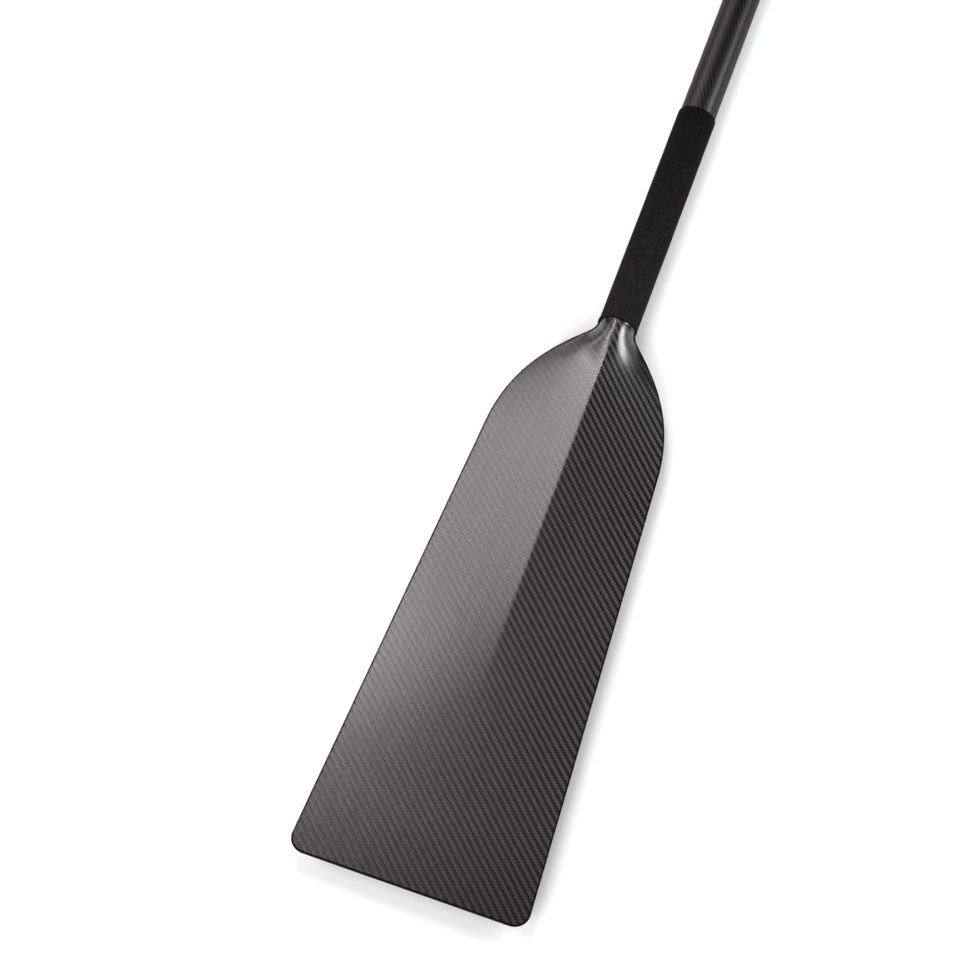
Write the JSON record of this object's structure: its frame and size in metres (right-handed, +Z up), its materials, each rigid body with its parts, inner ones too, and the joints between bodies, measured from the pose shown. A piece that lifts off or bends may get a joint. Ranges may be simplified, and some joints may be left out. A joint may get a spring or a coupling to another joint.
{
  "type": "dragon boat paddle",
  "caption": "Rigid carbon racing paddle with a straight-edged ridged blade, a round shaft, a rubber lower-hand sleeve and a T-handle for the upper hand.",
  "frame": {"origin": "under the middle of the paddle's bounding box, on the surface it lies on", "axes": "+X across the blade, +Y along the shaft from the blade's tip to the T-handle, +Z up out of the blade's front face"},
  "size_m": [0.1786, 1.245, 0.0308],
  "materials": {
    "carbon_twill": "satin",
    "carbon_plain": "matte",
    "edge_black": "satin",
    "grip_rubber": "matte",
    "core_foam": "matte"
  },
  "bodies": {
    "root": {"blade_front_skin": "carbon_twill", "blade_back_skin": "carbon_twill", "blade_edge_rail": "edge_black", "blade_core_left": "core_foam", "blade_core_right": "core_foam", "blade_spine": "carbon_plain", "neck_ferrule": "carbon_plain", "neck_plug": "core_foam", "shaft_tube": "carbon_twill", "grip_sleeve": "grip_rubber", "shaft_top_plug": "core_foam", "handle_tenon": "carbon_plain", "handle_core": "core_foam", "handle_front_shell": "carbon_twill", "handle_back_shell": "carbon_twill"}
  },
  "joints": []
}
